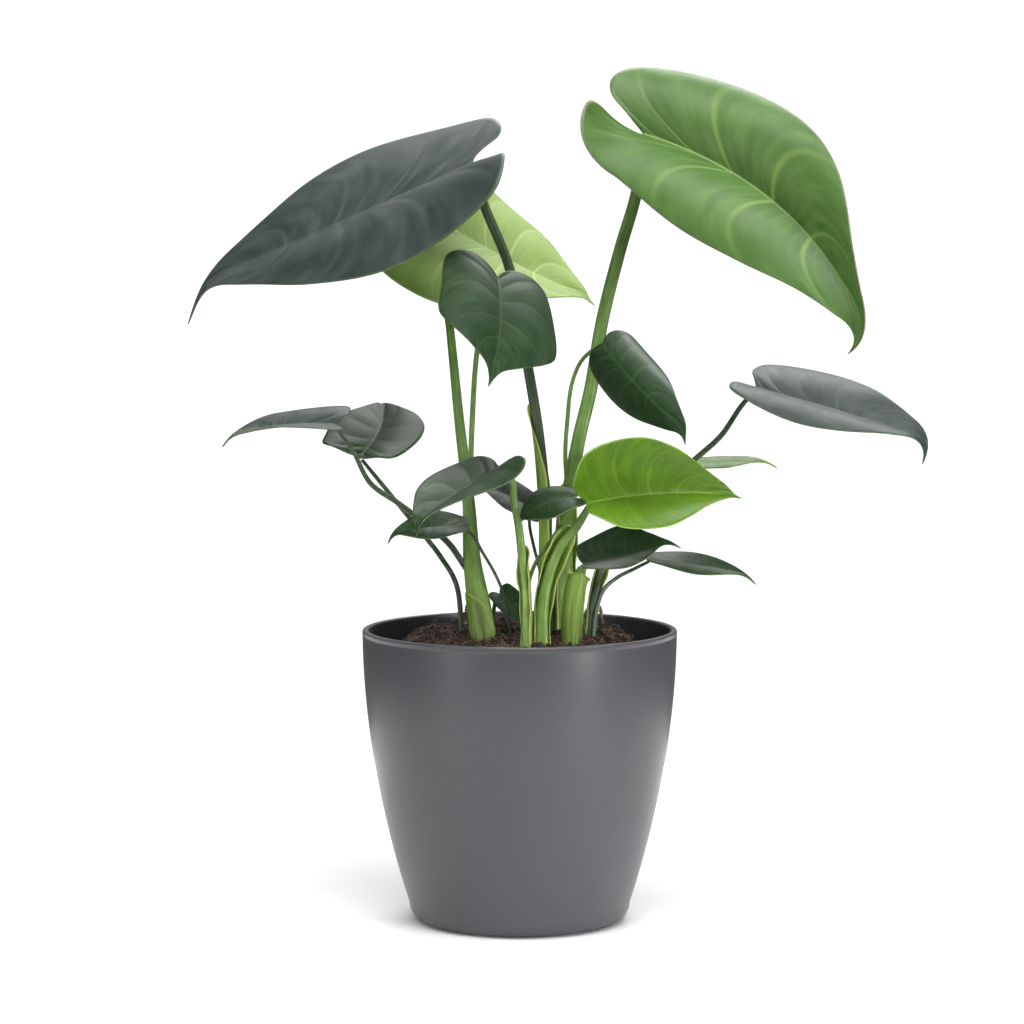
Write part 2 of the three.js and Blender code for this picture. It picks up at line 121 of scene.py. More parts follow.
def softbox(name, azimuth, height, distance, width, tall, power, aim, spread):
    """An area light at an azimuth from the viewer's side, turned to face a height on the plant's axis."""
    turn = math.radians(azimuth)
    place = np.array([distance * math.sin(turn), -distance * math.cos(turn), height])
    lamp = bpy.data.lights.new(name, "AREA")
    lamp.shape = "RECTANGLE"
    lamp.size = width
    lamp.size_y = tall
    lamp.energy = power
    lamp.spread = math.radians(spread)
    light = bpy.data.objects.new(name, lamp)
    bpy.context.scene.collection.objects.link(light)
    light.location = place
    towards = np.array([0, 0, aim]) - place
    level = math.hypot(towards[0], towards[1])
    tilt = math.pi / 2 + math.atan2(towards[2], level)
    light.rotation_euler = (tilt, 0, math.atan2(towards[1], towards[0]) - math.pi / 2)
    light.visible_camera = False


def viewpoint():
    """The camera stands back at the height of the leaves and looks slightly down at the rim."""
    lens = bpy.data.cameras.new("viewpoint")
    lens.sensor_width = SENSOR_MM
    lens.lens = LENS_MM
    eye = bpy.data.objects.new("viewpoint", lens)
    bpy.context.scene.collection.objects.link(eye)
    eye.location = EYE
    eye.rotation_euler = (math.radians(90 - EYE_DOWN), 0, 0)
    bpy.context.scene.camera = eye


def circle(count):
    """Angles spaced evenly round a circle."""
    return np.linspace(0, 2 * np.pi, count, endpoint=False)


def floor():
    """A disc of white paper. It glows a little towards its rim, where it melts into the white around it."""
    made, tree, shader, place = material("white_floor_paper")
    far = node(tree, "VectorMath", {0: place}, operation="LENGTH")
    glow = node(tree, "MapRange", {"Value": far, "From Min": GLOW_FROM, "From Max": GLOW_TO, "To Max": 0.7},
        interpolation_type="SMOOTHSTEP")
    wire(tree, shader, {
        "Base Color": "#fafafa", "Roughness": 0.9, "Specular IOR Level": 0.1,
        "Emission Color": "#fdfdfd", "Emission Strength": glow})
    turn = circle(64)
    rim = np.stack([FLOOR_RADIUS * np.cos(turn), FLOOR_RADIUS * np.sin(turn), 0 * turn], -1)
    mesh = bpy.data.meshes.new("floor")
    mesh.from_pydata(rim.tolist(), [], [list(range(len(rim)))])
    mesh.materials.append(made)
    ground = bpy.data.objects.new("floor", mesh)
    bpy.context.scene.collection.objects.link(ground)


studio()
for name, settings in LIGHTS.items():
    softbox(name, *settings)
viewpoint()
floor()

# ---- cover pot ----
# A round tapered cover pot with a plain lip. It is polypropylene filled with anthracite
# pigment, injection moulded in a spark-eroded mould, which leaves a fine satin grain.

POT_RIM, POT_HEIGHT, POT_WALL, POT_FLOOR = 80, 149, 3.2, 4
FOOT_RADIUS, LIP_RADIUS, WELL_RADIUS = 9, 1.1, 5
# the share of the radius lost at the foot, and the power by which the loss grows with depth
TAPER, TAPER_POWER = 0.331, 1.913


def grid_faces(rows, columns, wrap=False, start=0):
    """Corner numbers of the quads between neighbouring rows and columns of a grid of points."""
    row, column = np.meshgrid(np.arange(rows - 1), np.arange(columns - (0 if wrap else 1)), indexing="ij")
    beside = (column + 1) % columns
    corners = [row * columns + column, row * columns + beside,
               (row + 1) * columns + beside, (row + 1) * columns + column]
    return np.stack(corners, -1).reshape(-1, 4) + start


def piece(name, points, faces, finish, replaces=(), uv=None, part=None):
    """A smooth mesh from points in millimetres, with its doubled points merged, riding on the part.

    uv holds one pair per point for each named layer. part numbers the finish of each face."""
    mesh = bpy.data.meshes.new(name)
    mesh.from_pydata((np.asarray(points) * MM).tolist(), [], np.asarray(faces).tolist())
    finishes = finish if isinstance(finish, (list, tuple)) else [finish]
    for one in finishes:
        mesh.materials.append(one)
    if part is not None:
        mesh.polygons.foreach_set("material_index", np.asarray(part, np.int32))
    if uv is not None:
        corner = np.zeros(len(mesh.loops), np.int32)
        mesh.loops.foreach_get("vertex_index", corner)
        for layer, values in uv.items():
            mesh.uv_layers.new(name=layer).data.foreach_set("uv", values[corner].astype(np.float32).ravel())
    work = bmesh.new()
    work.from_mesh(mesh)
    bmesh.ops.remove_doubles(work, verts=work.verts, dist=2e-6)
    bmesh.ops.dissolve_degenerate(work, edges=work.edges, dist=1e-7)
    bmesh.ops.recalc_face_normals(work, faces=work.faces)
    work.to_mesh(mesh)
    work.free()
    mesh.polygons.foreach_set("use_smooth", np.ones(len(mesh.polygons), bool))
    made = bpy.data.objects.new(name, mesh)
    bpy.context.scene.collection.objects.link(made)
    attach(made, "root")
    if replaces:
        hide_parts(*replaces)
    return made


def turned(profile, segments):
    """Points and faces of a profile of radius and height turned about the upright axis."""
    turn = circle(segments)
    radius, height = np.asarray(profile, float).T
    x = radius[:, None] * np.cos(turn)
    y = radius[:, None] * np.sin(turn)
    z = np.broadcast_to(height[:, None], x.shape)
    return np.stack([x, y, z], -1).reshape(-1, 3), grid_faces(len(radius), segments, wrap=True)


def quarter(centre, radius, start, steps=8):
    """Points of a quarter circle about a centre, from a start angle in degrees, anticlockwise."""
    turn = np.radians(start + np.linspace(0, 90, steps))
    return np.stack([centre[0] + radius * np.cos(turn), centre[1] + radius * np.sin(turn)], -1)


def pot_radius(height):
    """Outer radius: the rim's, less a share that grows as the depth below the rim to a power."""
    return POT_RIM * (1 - TAPER * (1 - height / POT_HEIGHT) ** TAPER_POWER)


def cover_pot():
    """A closed profile turned about the axis: foot, outer wall, lip, inner wall and well, with each corner
    a quarter circle. The inner wall is the outer one moved in by the wall's thickness."""
    heights = np.linspace(FOOT_RADIUS, POT_HEIGHT - LIP_RADIUS, 60)
    low = pot_radius(FOOT_RADIUS)
    outside = np.stack([pot_radius(heights), heights], -1)
    inside = np.stack([pot_radius(heights) - POT_WALL, heights], -1)[::-1]
    foot = quarter((low - FOOT_RADIUS, FOOT_RADIUS), FOOT_RADIUS, -90, 12)
    lip_out = quarter((POT_RIM - LIP_RADIUS, POT_HEIGHT - LIP_RADIUS), LIP_RADIUS, 0)
    lip_in = quarter((POT_RIM - POT_WALL + LIP_RADIUS, POT_HEIGHT - LIP_RADIUS), LIP_RADIUS, 90)
    well = quarter((low - POT_WALL - WELL_RADIUS, POT_FLOOR + WELL_RADIUS), WELL_RADIUS, -90)[::-1]
    profile = np.vstack([[[0, 0]], foot[:-1], outside, lip_out, lip_in, inside[1:-1], well, [[0, POT_FLOOR]]])
    points, faces = turned(profile, 224)
    return points, faces[:, ::-1]


def satin_polypropylene():
    """Satin moulded polypropylene, IOR 1.49: a broad soft shine, with the mould's grain showing in it."""
    made, tree, shader, place = material("satin_anthracite_polypropylene")
    # the real grain is about 0.2 mm, drawn at 0.7 mm so that it shows
    grain = node(tree, "TexNoise", {"Vector": place, "Scale": 1 / (0.7 * MM), "Detail": 1.0})
    cloud = node(tree, "TexNoise", {"Vector": place, "Scale": 1 / (28 * MM), "Detail": 2.0})
    tone = node(tree, "MapRange", {"Value": grain, "From Min": 0.3, "From Max": 0.7})
    speck = node(tree, "Mix", {"Factor": tone, "A": "#39383c", "B": "#444347"}, data_type="RGBA")
    shade = node(tree, "Mix", {"Factor": cloud, "A": speck, "B": "#414044"}, data_type="RGBA")
    rough = node(tree, "MapRange", {
        "Value": cloud, "From Min": 0.3, "From Max": 0.7, "To Min": 0.31, "To Max": 0.36})
    bump = node(tree, "Bump", {"Height": grain, "Strength": 0.1, "Distance": 0.1 * MM})
    wire(tree, shader, {"Base Color": shade, "Roughness": rough, "IOR": 1.49, "Normal": bump})
    return made


points, faces = cover_pot()
piece("cover_pot_shell", points, faces, satin_polypropylene(), ["cover_pot"])

# ---- nursery pot ----
# The grower's pot that the plant was raised in: thin black polypropylene, thermoformed, with a
# folded rim and drain holes in its base. It stands loose inside the cover pot.


def black_growers_plastic():
    """Recycled black polypropylene, thermoformed, then weathered: dull, with patches of dust."""
    made, tree, shader, place = material("black_growers_polypropylene")
    dust = node(tree, "TexNoise", {"Vector": place, "Scale": 1 / (6 * MM), "Detail": 5.0})
    spread = node(tree, "MapRange", {"Value": dust, "From Min": 0.45, "From Max": 0.75})
    shade = node(tree, "Mix", {"Factor": spread, "A": "#19191a", "B": "#2d2a27"}, data_type="RGBA")
    bump = node(tree, "Bump", {"Height": dust, "Strength": 0.2, "Distance": 0.2 * MM})
    wire(tree, shader, {"Base Color": shade, "Roughness": 0.55, "IOR": 1.49, "Normal": bump})
    return made


nursery_plastic = black_growers_plastic()
nursery_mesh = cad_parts["nursery_pot"].data
nursery_mesh.materials.clear()
nursery_mesh.materials.append(nursery_plastic)

# ---- root ball ----
# Peat based potting soil, loose and dark, with bark chips, coir fibres and a felt of fine
# roots on top. It keeps the nursery pot's shape and stands a little proud of its rim.

SOIL_EDGE, SOIL_LEVEL, SOIL_CROWN, SOIL_LEAN = 60.0, 141.0, 8.0, 2.5
# radius and height of the ball below its top edge, down the nursery pot's wall
BALL_SIDE = np.array([[59.0, 134.0], [58.0, 133.0], [43.0, 6.5], [0.0, 6.5]])
CHIPS, FIBRES = 3800, 230
random = np.random.default_rng(7)


def lattice_noise(x, y, size, seed):
    """Smooth value noise: random heights on a square lattice, blended by a smooth step between them."""
    table = np.random.default_rng(seed).random((64, 64))
    u, v = x / size, y / size
    i, j = np.floor(u).astype(int), np.floor(v).astype(int)
    a, b = u - i, v - j
    a, b = a * a * (3 - 2 * a), b * b * (3 - 2 * b)
    near = table[i % 64, j % 64] * (1 - a) + table[(i + 1) % 64, j % 64] * a
    far = table[i % 64, (j + 1) % 64] * (1 - a) + table[(i + 1) % 64, (j + 1) % 64] * a
    return near * (1 - b) + far * b - 0.5


def soil_height(x, y):
    """A low crown leaning back, with lumps of four sizes; the finest are crumbs of a millimetre."""
    spread = np.minimum(1, np.hypot(x, y) / SOIL_EDGE)
    lumps = np.sin(x * 0.31 + 1) * np.cos(y * 0.27) + 0.6 * np.sin(x * 0.13 - y * 0.19)
    crown = SOIL_LEVEL + SOIL_CROWN * np.sqrt(1 - spread ** 3)
    crown = crown + (SOIL_LEAN * y / SOIL_EDGE + 1.6 * lumps) * (1 - spread)
    lump_sizes = ((9, 3.4), (4, 2.6), (1.8, 1.7), (0.9, 0.8))
    rough = sum(high * lattice_noise(x, y, size, seed + 1) for seed, (size, high) in enumerate(lump_sizes))
    return crown + rough * (1 - spread ** 8)


def root_ball():
    """Rings from the middle of the top out to the edge at the soil's height, then down the ball's side."""
    rings = np.linspace(0, SOIL_EDGE, 150)
    turn = circle(360)
    x = rings[:, None] * np.cos(turn)
    y = rings[:, None] * np.sin(turn)
    top = np.stack([x, y, soil_height(x, y)], -1)
    reach, height = BALL_SIDE[:, :1], BALL_SIDE[:, 1:]
    wall = np.stack([reach * np.cos(turn), reach * np.sin(turn), height + 0 * turn], -1)
    grid = np.concatenate([top, wall])
    return grid.reshape(-1, 3), grid_faces(len(grid), len(turn), wrap=True)[:, ::-1]


def peat():
    """Moist peat: near black, with rust brown fibre lying in drifts, fully rough."""
    made, tree, shader, place = material("moist_peat_soil")
    drift = node(tree, "TexNoise", {"Vector": place, "Scale": 1 / (16 * MM), "Detail": 4.0})
    crumb = node(tree, "TexNoise", {"Vector": place, "Scale": 1 / (1.6 * MM), "Detail": 6.0})
    strand = node(tree, "TexWave", {
        "Vector": place, "Scale": 1 / (14 * MM), "Distortion": 18.0, "Detail": 4.0, "Detail Scale": 2.0})
    brown = node(tree, "MapRange", {"Value": drift, "From Min": 0.42, "From Max": 0.66})
    base = node(tree, "Mix", {"Factor": brown, "A": "#2a211f", "B": "#583a2c"}, data_type="RGBA")
    fleck = node(tree, "MapRange", {"Value": crumb, "From Min": 0.35, "From Max": 0.7})
    crumbs = node(tree, "Mix", {"Factor": fleck, "A": "#171211", "B": base}, data_type="RGBA")
    line = node(tree, "MapRange", {"Value": strand.outputs[1], "From Min": 0.93, "From Max": 1.0})
    shade = node(tree, "Mix", {"Factor": line, "A": crumbs, "B": "#7b6454"}, data_type="RGBA")
    bump = node(tree, "Bump", {"Height": crumb, "Strength": 0.8, "Distance": 1.2 * MM})
    wire(tree, shader, {"Base Color": shade, "Roughness": 0.93, "Normal": bump})
    return made


def chips(count):
    """Bark chips and soil crumbs: twelve-cornered lumps, each stretched, turned and laid on the soil."""
    turn = random.uniform(0, 2 * np.pi, count)
    reach = SOIL_EDGE * 0.97 * np.sqrt(random.uniform(0, 1, count))
    x, y = reach * np.cos(turn), reach * np.sin(turn)
    centre = np.stack([x, y, soil_height(x, y) + 0.2], -1)
    size = random.lognormal(-0.1, 0.45, (count, 1)) * random.uniform(0.5, 1.3, (count, 3)) * 0.75
    ring = circle(5)
    low = np.stack([np.cos(ring), np.sin(ring), 0 * ring - 0.45], -1)
    high = np.stack([np.cos(ring + 0.6) * 0.8, np.sin(ring + 0.6) * 0.8, 0 * ring + 0.45], -1)
    lump = np.vstack([[[0, 0, -0.8]], low, high, [[0, 0, 0.8]]])
    shapes = (lump + random.normal(0, 0.16, (count, 12, 3))) * size[:, None]
    swing = random.normal(size=(count, 3, 3))
    frames = np.linalg.qr(swing)[0]
    frames *= np.sign(np.linalg.det(frames))[:, None, None]
    placed = centre[:, None] + np.einsum("nij,nkj->nki", frames, shapes)
    step = np.arange(5)
    after = (step + 1) % 5
    below = np.stack([0 * step, after + 1, step + 1], -1)
    above = np.stack([0 * step + 11, step + 6, after + 6], -1)
    belt = np.concatenate([np.stack([step + 1, after + 1, step + 6], -1),
                           np.stack([after + 1, after + 6, step + 6], -1)])
    one = np.concatenate([below, above, belt])
    faces = (one[None] + 12 * np.arange(count)[:, None, None]).reshape(-1, 3)
    tint = np.repeat(random.uniform(0, 1, (count, 2)), 12, axis=0)
    return placed.reshape(-1, 3), faces, tint


def bark():
    """Composted bark and coir: each chip has its own brown, from near black to rust."""
    made, tree, shader, _ = material("composted_bark")
    tint = node(tree, "UVMap", uv_map="tint")
    pick = node(tree, "SeparateXYZ", {0: tint})
    ramp = node(tree, "ValToRGB", {"Fac": pick})
    stops = ramp.color_ramp.elements
    stops[0].color = linear("#1c1614")
    stops[1].color = linear("#6d4634")
    stops.new(0.55).color = linear("#2e211c")
    stops.new(0.85).color = linear("#4b3025")
    wire(tree, shader, {"Base Color": ramp, "Roughness": 0.9})
    return made


def catmull_rom(points, along):
    """Places on a smooth curve through points: centripetal Catmull-Rom, along running from 0 to 1."""
    points = np.asarray(points, float)
    spans = len(points) - 1
    ends = np.vstack([2 * points[0] - points[1], points, 2 * points[-1] - points[-2]])
    step = np.minimum((np.clip(along, 0, 1) * spans).astype(int), spans - 1)
    w = (np.clip(along, 0, 1) * spans - step)[:, None]
    p0, p1, p2, p3 = (ends[step + i] for i in range(4))
    gap = [np.maximum(np.linalg.norm(b - a, axis=1, keepdims=True) ** 0.5, 1e-4)
           for a, b in ((p0, p1), (p1, p2), (p2, p3))]
    leave = (p1 - p0) / gap[0] - (p2 - p0) / (gap[0] + gap[1]) + (p2 - p1) / gap[1]
    reach = (p2 - p1) / gap[1] - (p3 - p1) / (gap[1] + gap[2]) + (p3 - p2) / gap[2]
    leave, reach = leave * gap[1], reach * gap[1]
    bend = -3 * p1 + 3 * p2 - 2 * leave - reach
    return p1 + leave * w + bend * w ** 2 + (2 * p1 - 2 * p2 + leave + reach) * w ** 3


def carried_frames(path):
    """Unit vectors along a path and two across it, carried from point to point without spinning."""
    along = np.gradient(path, axis=0)
    along /= np.linalg.norm(along, axis=1, keepdims=True)
    across = np.zeros_like(along)
    across[0] = np.cross(along[0], [0.0, 1.0, 0.0])
    across[0] /= np.linalg.norm(across[0])
    for i in range(1, len(path)):
        flat = across[i - 1] - along[i] * (across[i - 1] @ along[i])
        across[i] = flat / np.linalg.norm(flat)
    return along, across, np.cross(along, across)


def rod(path, radius, sides):
    """A closed round rod: a ring of each radius about each point of the path, pinched shut at both ends."""
    _, across, aside = carried_frames(path)
    radius = np.asarray(radius, float)
    path = np.vstack([path[:1], path, path[-1:]])
    across, aside = (np.vstack([v[:1], v, v[-1:]]) for v in (across, aside))
    radius = np.concatenate([[0], radius, [0]])
    turn = circle(sides)
    ring = across[:, None] * np.cos(turn)[:, None] + aside[:, None] * np.sin(turn)[:, None]
    points = path[:, None] + ring * radius[:, None, None]
    return points.reshape(-1, 3), grid_faces(len(path), sides, wrap=True)


def joined(shapes):
    """Several shapes of points and faces as one."""
    points, faces, start = [], [], 0
    for some_points, some_faces in shapes:
        points.append(some_points)
        faces.append(np.asarray(some_faces) + start)
        start += len(some_points)
    return np.vstack(points), np.vstack(faces)


def fibres(count):
    """Fine roots: walks whose heading drifts at random, with a hump in the middle, half sunk in the soil."""
    shapes = []
    for _ in range(count):
        turn = random.uniform(0, 2 * np.pi)
        reach = SOIL_EDGE * 0.93 * math.sqrt(random.uniform(0.02, 1))
        steps = 14
        heading = random.uniform(0, 2 * np.pi) + np.cumsum(random.normal(0, 0.35, steps))
        stride = random.uniform(0.9, 2.4)
        x = reach * math.cos(turn) + np.cumsum(np.cos(heading)) * stride
        y = reach * math.sin(turn) + np.cumsum(np.sin(heading)) * stride
        pull = np.minimum(1, SOIL_EDGE * 0.96 / np.maximum(np.hypot(x, y), 1e-3))
        x, y = x * pull, y * pull
        hump = random.uniform(0.2, 2.6) * np.sin(np.linspace(0, np.pi, steps)) ** 2
        path = np.stack([x, y, soil_height(x, y) + hump - 0.15], -1)
        path[1:-1] = (path[:-2] + path[1:-1] + path[2:]) / 3
        shapes.append(rod(path, random.uniform(0.12, 0.34) * np.linspace(1, 0.5, steps), 5))
    return joined(shapes)


def dry_root():
    """Dry fibrous root, grown in air: rough grey brown bark, mottled dark and pale."""
    made, tree, shader, place = material("dry_root_bark")
    patch = node(tree, "TexNoise", {"Vector": place, "Scale": 1 / (3 * MM), "Detail": 4.0})
    ramp = node(tree, "ValToRGB", {"Fac": patch})
    stops = ramp.color_ramp.elements
    stops[0].position = 0.35
    stops[0].color = linear("#3b2c25")
    stops[1].position = 0.68
    stops[1].color = linear("#8d7664")
    bump = node(tree, "Bump", {"Height": patch, "Strength": 0.5, "Distance": 0.4 * MM})
    wire(tree, shader, {"Base Color": ramp, "Roughness": 0.85, "Normal": bump})
    return made


root_bark = dry_root()
points, faces = root_ball()
piece("potting_soil", points, faces, peat(), ["root_ball"])
points, faces, tint = chips(CHIPS)
piece("bark_chips", points, faces, bark(), uv={"tint": tint})
points, faces = fibres(FIBRES)
piece("fine_roots", points, faces, root_bark)

# ---- aerial roots ----
# A woody root that has arched up out of the soil and down again, and the stub of another
# beside the left stalk. Both grew from the plant's foot.

ROOTS = {
    "root_arch": [[33, 28, 138, 0.9], [34, 28, 153, 0.9], [38, 28, 159, 0.9], [42, 28, 155, 0.9],
                  [44, 28, 138, 0.9]],
    "root_spur": [[-28, 14, 138, 1.6], [-28, 14, 153, 1.4], [-26, 14, 161, 0.8]],
}

for name, points in ROOTS.items():
    points = np.array(points, float)
    along = np.linspace(0, 1, 60)
    path = catmull_rom(points[:, :3], along)
    knots = 1 + 0.14 * np.sin(along * 37) + 0.1 * np.sin(along * 83 + 1)
    radius = np.interp(along, np.linspace(0, 1, len(points)), points[:, 3]) * knots
    wander = np.stack([np.sin(along * 21), np.cos(along * 17), 0 * along], -1) * 0.35
    points, faces = rod(path + wander, radius, 12)
    piece(f"{name}_bark", points, faces, root_bark, [name])

# ---- leaf stalks ----
# Solid juicy stalks, round with a shallow channel on the side that faces the plant's middle,
# skinned smooth and finely striped. They rise from the foot and each carries one blade. A sheath,
# the thin wing that wrapped the next leaf while it grew, clasps the foot of each thick stalk.

# steps between two given points of a stalk; depth, angle and width of the channel down its side
STALK_STEPS, CHANNEL_DEPTH, CHANNEL_ANGLE, CHANNEL_WIDTH = 22, 0.22, 1.6, 0.55
# gap between stalk and sheath, and how far the sheath's two faces stand out and in from there
SHEATH_GAP, SHEATH_OUT, SHEATH_IN = 0.3, 0.25, 0.2
# for each stalk: its skin, then x, y, z and radius from the blade down to the soil
STALKS = {
    "top_right": ("fresh", [[63, 6, 397, 2.6], [59, 12, 369, 3.0], [51, 14, 341, 3.2],
        [42, 12, 305, 3.3], [36, 8, 270, 3.4], [30, 4, 245, 3.5], [24, -6, 210, 4.0],
        [22, -14, 175, 5.0], [22, -18, 138, 5.6]]),
    "top_left": ("dark", [[-25, 4, 382, 2.2], [-17, 8, 361, 2.4], [-5, 12, 331, 2.5], [4, 8, 283, 2.6],
        [10, -2, 245, 2.7], [13, -14, 206, 3.0], [13, -24, 172, 3.4], [12, -28, 138, 3.8]]),
    "back_pale": ("fresh", [[-38, 70, 354, 1.6], [-41, 64, 337, 2.0], [-36, 42, 300, 2.2],
        [-31, 22, 254, 2.6], [-26, 2, 214, 3.2], [-24, -12, 185, 4.5], [-20, -24, 161, 6.0],
        [-16, -30, 137, 6.5]]),
    "heart": ("fresh", [[-11, -37, 327, 1.0], [-15, -28, 316, 1.1], [-21, -16, 293, 1.3],
        [-24, -4, 255, 1.4], [-25, 2, 230, 1.4], [-26, 4, 218, 1.4]]),
    "middle_right": ("fresh", [[41, -27, 294, 0.9], [35, -18, 290, 1.0], [30, -12, 284, 1.0],
        [26, -9, 273, 1.0], [24, -7, 255, 1.1], [23, -6, 238, 1.1], [24, -6, 222, 1.2]]),
    "far_right": ("dark", [[119, -7, 271, 1.1], [112, 0, 262, 1.3], [102, 2, 247, 1.4],
        [90, 2, 236, 1.5], [71, 0, 219, 1.6], [53, -4, 199, 1.8], [40, -12, 177, 2.0],
        [34, -16, 138, 2.2]]),
    "front_bright": ("fresh", [[34, -48, 215, 1.6], [28, -45, 205, 2.2], [20, -44, 195, 2.5],
        [14, -43, 180, 2.8], [11, -43, 163, 3.2], [11, -43, 138, 3.6]]),
    "behind_bright": ("dark", [[88, 22, 230, 0.8], [77, 22, 225, 0.8], [62, 20, 213, 0.9],
        [47, 12, 193, 1.0], [40, 4, 168, 1.1], [38, 0, 138, 1.2]]),
    "far_left": ("dark", [[-92, -18, 252, 0.9], [-84, -16, 241, 1.1], [-75, -14, 224, 1.3],
        [-61, -14, 214, 1.4], [-48, -14, 204, 1.5], [-36, -14, 194, 1.6], [-27, -13, 181, 1.6]]),
    "left_round": ("dark", [[-80, 0, 235, 0.9], [-70, -2, 223, 1.1], [-57, -2, 207, 1.2],
        [-47, -3, 195, 1.3], [-40, -5, 186, 1.3], [-32, -8, 172, 1.3], [-29, -12, 138, 1.4]]),
    "front_curled": ("fresh", [[-10, -53, 234, 1.4], [-4, -52, 228, 1.7], [-3, -51, 218, 1.9],
        [-1, -50, 208, 2.0], [1, -50, 191, 2.1], [3, -51, 169, 2.2], [3, -53, 138, 2.4]]),
    "low_left": ("dark", [[-27, -24, 202, 0.8], [-23, -25, 198, 0.8], [-19, -26, 191, 0.8],
        [-12, -28, 179, 0.8], [-7, -30, 166, 0.8], [-4, -31, 138, 0.9]]),
    "centre_small": ("dark", [[5, -4, 210, 0.8], [5, -5, 202, 0.8], [7, -7, 192, 0.8],
        [10, -8, 180, 0.8], [12, -9, 165, 0.8], [12, -10, 138, 0.9]]),
    "front_small": ("fresh", [[26, -52, 218, 0.8], [22, -42, 208, 0.9], [16, -36, 198, 1.0],
        [7, -34, 184, 1.0], [3, -35, 168, 1.0], [2, -36, 138, 1.0]]),
    "low_right": ("fresh", [[31, -39, 184, 2.2], [29, -39, 178, 3.4], [27, -39, 167, 4.2],
        [26, -38, 155, 4.6], [25, -38, 138, 4.6]]),
    "low_far_right": ("dark", [[65, -18, 185, 0.8], [57, -18, 181, 0.9], [49, -19, 177, 1.0],
        [42, -22, 171, 1.1], [38, -25, 160, 1.2], [36, -27, 138, 1.4]]),
    "youngest": ("fresh", [[-12, -13, 167, 0.8], [-13, -10, 160, 1.0], [-14, -9, 150, 1.2],
        [-14, -9, 138, 1.3]]),
}


def striped_tissue(tree, place, low, top, foot, scale, first):
    """A colour that turns from low to top between two heights, and noise drawn out along the stalk."""
    height = node(tree, "SeparateXYZ", {0: place}).outputs["Z"]
    rise = node(tree, "MapRange", {"Value": height, "From Min": foot[0], "From Max": foot[1]})
    body = node(tree, "Mix", {"Factor": rise, "A": low, "B": top}, data_type="RGBA")
    spot = node(tree, "UVMap", uv_map="skin")
    stretched = node(tree, "Mapping", {"Vector": spot, "Scale": scale})
    lines = node(tree, "TexNoise", {"Vector": stretched, "Scale": 1.0, "Detail": 3.0})
    return body, lines, node(tree, "MapRange", {"Value": lines, "From Min": first, "From Max": 0.75})


def stalk_skin(name, top, low, stripe):
    """Smooth waxy skin over wet tissue, IOR 1.4: striped along its length, paler towards the soil."""
    made, tree, shader, place = material(name)
    body, lines, line = striped_tissue(tree, place, low, top, (0.15, 0.24), (26.0, 0.05, 1.0), 0.45)
    soft = node(tree, "Math", {0: line, 1: 0.55}, operation="MULTIPLY")
    striped = node(tree, "Mix", {"Factor": soft, "A": body, "B": stripe}, data_type="RGBA")
    cloud = node(tree, "TexNoise", {"Vector": place, "Scale": 1 / (9 * MM), "Detail": 4.0})
    dim = node(tree, "MapRange", {
        "Value": cloud, "From Min": 0.3, "From Max": 0.7, "To Min": 0.78, "To Max": 1.12})
    shade = node(tree, "HueSaturation", {"Color": striped, "Value": dim})
    bump = node(tree, "Bump", {"Height": lines, "Strength": 0.25, "Distance": 0.3 * MM})
    wire(tree, shader, {
        "Base Color": shade, "Roughness": 0.36, "IOR": 1.4, "Normal": bump, "Subsurface Weight": 0.2,
        "Subsurface Scale": 1.2 * MM, "Subsurface Radius": (0.6, 1.0, 0.25)})
    return made


def stalk_line(points, along):
    """Places and radii on a stalk at shares of it, and the distance run to each."""
    points = np.array(points, float)
    path = catmull_rom(points[:, :3], along)
    radius = catmull_rom(np.stack([points[:, 3]] * 3, -1), along)[:, 0]
    strides = np.linalg.norm(np.diff(path, axis=0), axis=1)
    return path, radius, np.concatenate([[0], np.cumsum(strides)])


def stalk(points, sides=24):
    """A tapering rod along a smooth path. A channel is pressed into one side: the radius falls by a bell
    curve of the angle about the stalk."""
    count = STALK_STEPS * (len(points) - 1)
    path, radius, distance = stalk_line(points, np.linspace(0, 1, count))
    shape, faces = rod(path, radius, sides)
    turn = np.tile(circle(sides), count + 2)
    centre = np.repeat(np.vstack([path[:1], path, path[-1:]]), sides, axis=0)
    channel = 1 - CHANNEL_DEPTH * np.exp(-(((turn - CHANNEL_ANGLE) / CHANNEL_WIDTH) ** 2))
    run = np.repeat(np.concatenate([distance[:1], distance, distance[-1:]]), sides)
    skin = np.stack([np.abs(turn / np.pi - 1), run], -1)
    return centre + (shape - centre) * channel[:, None], faces, skin


def thin_sheet(upper, lower):
    """Closed sheet between two grids of points: both faces, and a strip along each of the four edges."""
    rows, columns = upper.shape[:2]
    number = np.arange(rows * columns).reshape(rows, columns)
    below = number + rows * columns
    strips = []
    for top, under in ((number[:, 0], below[:, 0]), (number[:, -1], below[:, -1]),
                       (number[0], below[0]), (number[-1], below[-1])):
        strips.append(np.stack([top[:-1], top[1:], under[1:], under[:-1]], -1))
    faces = np.vstack([grid_faces(rows, columns), grid_faces(rows, columns, start=rows * columns)] + strips)
    return np.concatenate([upper.reshape(-1, 3), lower.reshape(-1, 3)]), faces


